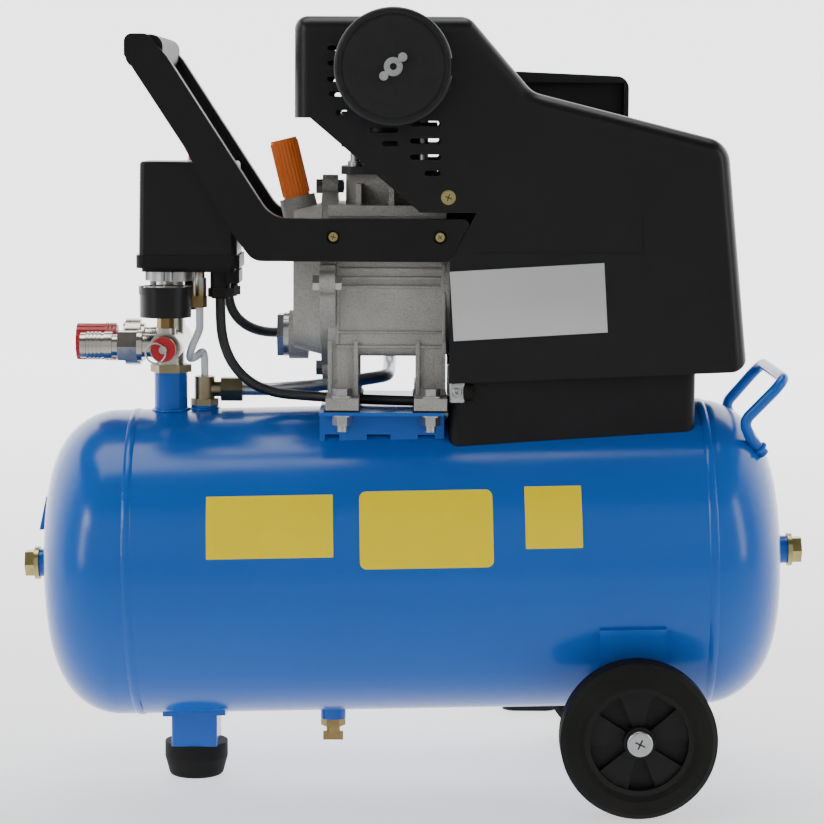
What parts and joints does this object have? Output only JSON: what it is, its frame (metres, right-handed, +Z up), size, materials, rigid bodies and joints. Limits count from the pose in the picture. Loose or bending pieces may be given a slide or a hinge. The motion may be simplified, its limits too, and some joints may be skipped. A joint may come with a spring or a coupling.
{
  "type": "air compressor",
  "caption": "Portable direct-drive piston air compressor on a horizontal tank, with wheels, carry handle, gauges, regulator and quick coupler.",
  "frame": {"origin": "on the floor under the middle of the tank, midway between the wheels", "axes": "+X along the tank from the foot to the wheels, -Y towards the air filter side, +Z up"},
  "size_m": [0.6132, 0.421, 0.6021],
  "materials": {
    "blue_paint": "gloss",
    "cast_alloy": "satin",
    "steel": "satin",
    "plating": "polished",
    "gold_plating": "satin",
    "brass": "satin",
    "black_plastic": "satin",
    "gloss_black": "gloss",
    "red_plastic": "gloss",
    "orange_plastic": "gloss",
    "rubber": "matte",
    "tyre": "matte",
    "cable": "satin",
    "felt": "matte",
    "glass": "gloss",
    "copper": "satin",
    "core_steel": "matte"
  },
  "bodies": {
    "frame": {"tank_shell": "blue_paint", "tank_heads": "blue_paint", "tank_fittings": "blue_paint", "end_plugs": "steel", "pump_saddle": "blue_paint", "front_leg": "blue_paint", "rubber_feet": "rubber", "plated_bolts": "steel", "wheel_bracket": "blue_paint", "rear_handle": "blue_paint", "crankcase": "cast_alloy", "crankcase_cover": "cast_alloy", "sight_glass": "plating", "oil_filler_plug": "orange_plastic", "cylinder": "cast_alloy", "cylinder_head": "cast_alloy", "motor_stator": "core_steel", "motor_end_bell": "cast_alloy", "shaft_bearings": "steel", "motor_cowl": "gloss_black", "lower_shroud": "black_plastic", "run_capacitor": "black_plastic", "cowl_bracket": "steel", "cover_screws": "gold_plating", "filter_mount": "black_plastic", "filter_element": "felt", "filter_cap": "black_plastic", "carry_handle": "black_plastic", "brass_valves": "brass", "air_pipes": "copper", "union_nuts": "steel", "manifold": "plating", "coupler_body": "plating", "regulator_bonnet": "plating", "relief_valve": "brass", "gauges": "gloss_black", "gauge_lenses": "glass", "switch_body": "black_plastic", "switch_cover": "gloss_black", "lead_fixings": "black_plastic", "motor_lead": "cable", "mains_cord": "cable", "mains_coil": "cable", "plug": "black_plastic"},
    "wheel_front": {"tyre_front": "tyre", "wheel_hub_front": "black_plastic"},
    "wheel_rear": {"tyre_rear": "tyre", "wheel_hub_rear": "black_plastic"},
    "crank_rotor": {"rotor": "core_steel", "cooling_fan": "black_plastic"},
    "piston_and_rod": {"piston": "cast_alloy", "rod_assembly": "steel"},
    "start_knob": {"switch_knob": "red_plastic"},
    "pressure_knob": {"regulator_knob": "red_plastic"},
    "sleeve": {"coupler_sleeve": "plating"},
    "relief_stem": {"safety_ring": "steel"},
    "drain": {"drain_screw": "brass"},
    "filter_nut": {"wing_nut": "plating"},
    "pointer_front": {"needle_front": "red_plastic"},
    "pointer_rear": {"needle_rear": "red_plastic"}
  },
  "joints": [
    {"name": "wheel_front_spin", "type": "hinge", "parent": "frame", "child": "wheel_front", "pos_m": [0.1695, -0.123, 0.059], "axis": [0, 1, 0], "continuous": true},
    {"name": "wheel_rear_spin", "type": "hinge", "parent": "frame", "child": "wheel_rear", "pos_m": [0.1695, 0.123, 0.059], "axis": [0, 1, 0], "continuous": true},
    {"name": "shaft_spin", "type": "hinge", "parent": "frame", "child": "crank_rotor", "pos_m": [0.06, 0, 0.397], "axis": [1, 0, 0], "continuous": true},
    {"name": "piston_stroke", "type": "slide", "parent": "frame", "child": "piston_and_rod", "axis": [0, 0, 1], "range_m": [-0.038, 0]},
    {"name": "start_pull", "type": "slide", "parent": "frame", "child": "start_knob", "axis": [0, 0, 1], "range_m": [0, 0.006]},
    {"name": "pressure_turn", "type": "hinge", "parent": "frame", "child": "pressure_knob", "pos_m": [-0.24, 0.03, 0.343], "axis": [1, 0, 0], "range_deg": [-180, 180]},
    {"name": "sleeve_pull", "type": "slide", "parent": "frame", "child": "sleeve", "axis": [1, 0, 0], "range_m": [0, 0.0035], "stiffness_N_per_m": 2000},
    {"name": "relief_pull", "type": "slide", "parent": "frame", "child": "relief_stem", "axis": [0, -1, 0], "range_m": [0, 0.003], "stiffness_N_per_m": 2500},
    {"name": "drain_turn", "type": "hinge", "parent": "frame", "child": "drain", "pos_m": [-0.063, 0, 0.035], "axis": [0, 0, 1], "range_deg": [-180, 180]},
    {"name": "filter_nut_turn", "type": "hinge", "parent": "frame", "child": "filter_nut", "pos_m": [-0.0165, -0.14, 0.5585], "axis": [0, 1, 0], "range_deg": [-180, 180]},
    {"name": "pointer_front_turn", "type": "hinge", "parent": "frame", "child": "pointer_front", "pos_m": [-0.191, -0.044, 0.388], "axis": [0, 0, -1], "range_deg": [0, 270], "stiffness_Nm_per_rad": 0.0001},
    {"name": "pointer_rear_turn", "type": "hinge", "parent": "frame", "child": "pointer_rear", "pos_m": [-0.191, 0.044, 0.388], "axis": [0, 0, -1], "range_deg": [0, 270], "stiffness_Nm_per_rad": 0.0001}
  ]
}
